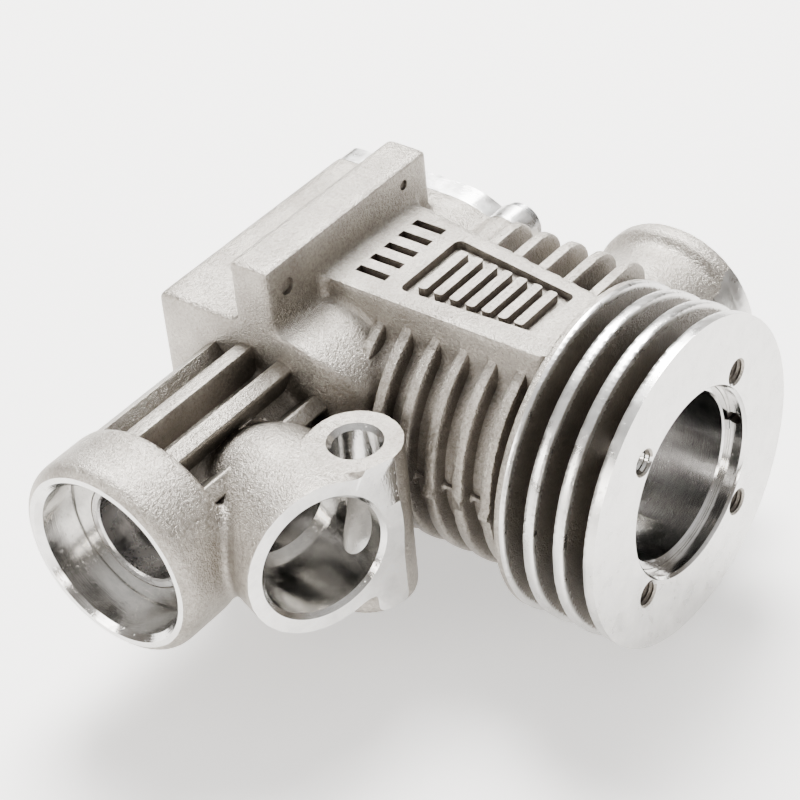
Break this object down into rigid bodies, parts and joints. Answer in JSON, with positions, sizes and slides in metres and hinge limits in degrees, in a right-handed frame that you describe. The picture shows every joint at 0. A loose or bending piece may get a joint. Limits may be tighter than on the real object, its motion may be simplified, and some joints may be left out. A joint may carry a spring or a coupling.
{
  "type": "model glow engine",
  "caption": "Small two-stroke model engine with finned one-piece crankcase, side lugs, open front bearing seat, carburettor neck, rear exhaust stub and complete crank and piston train.",
  "frame": {"origin": "where the cylinder axis meets the crank axis", "axes": "+X up the cylinder towards the head face, +Y along the crank axis towards the rear cover, +Z towards the side with the flat pad (up as the engine lies)"},
  "size_m": [0.0529, 0.0636, 0.04],
  "materials": {
    "cast_aluminium": "bead blasted casting with machined faces",
    "plated_liner": "honed and plated bore",
    "piston_alloy": "fine turned",
    "ground_steel": "ground",
    "spring_steel": "drawn wire",
    "rod_alloy": "milled",
    "bronze": "reamed",
    "hardened_steel": "hardened and ground",
    "heavy_alloy": "dense sintered alloy",
    "machined_aluminium": "turned",
    "seal_rubber": "moulded",
    "cover_screw": "zinc plated"
  },
  "bodies": {
    "case": {"crankcase": "cast_aluminium", "cylinder_liner": "plated_liner", "liner_locating_pin": "ground_steel", "front_shaft_bush": "ground_steel", "rear_bearing_outer_race": "ground_steel", "backplate": "machined_aluminium", "backplate_seal_ring": "seal_rubber", "backplate_screws": "cover_screw"},
    "crank": {"crankshaft": "hardened_steel", "crank_balance_slugs": "heavy_alloy", "crank_thrust_washer": "spring_steel", "rear_bearing_inner_race": "ground_steel"},
    "bearing_cage": {"rear_bearing_cage": "spring_steel", "rear_bearing_balls": "ground_steel"},
    "piston": {"piston": "piston_alloy", "wrist_pin": "ground_steel", "wrist_pin_clips": "spring_steel"},
    "rod": {"connecting_rod": "rod_alloy", "big_end_bush": "bronze", "small_end_bush": "bronze"}
  },
  "joints": [
    {"name": "crank_spin", "type": "hinge", "parent": "case", "child": "crank", "pos_m": [0, 0, 0], "axis": [0, 1, 0], "continuous": true},
    {"name": "cage_orbit", "type": "hinge", "parent": "case", "child": "bearing_cage", "pos_m": [0, 0, 0], "axis": [0, 1, 0], "continuous": true},
    {"name": "piston_stroke", "type": "slide", "parent": "case", "child": "piston", "axis": [1, 0, 0], "range_m": [0, 0.015]},
    {"name": "rod_swing", "type": "hinge", "parent": "piston", "child": "rod", "pos_m": [0.0171, 0, 0], "axis": [0, 1, 0], "range_deg": [-5, 5]}
  ],
  "couplings": [
    {"joint": "cage_orbit", "follows": "crank_spin", "ratio": 0.397}
  ]
}
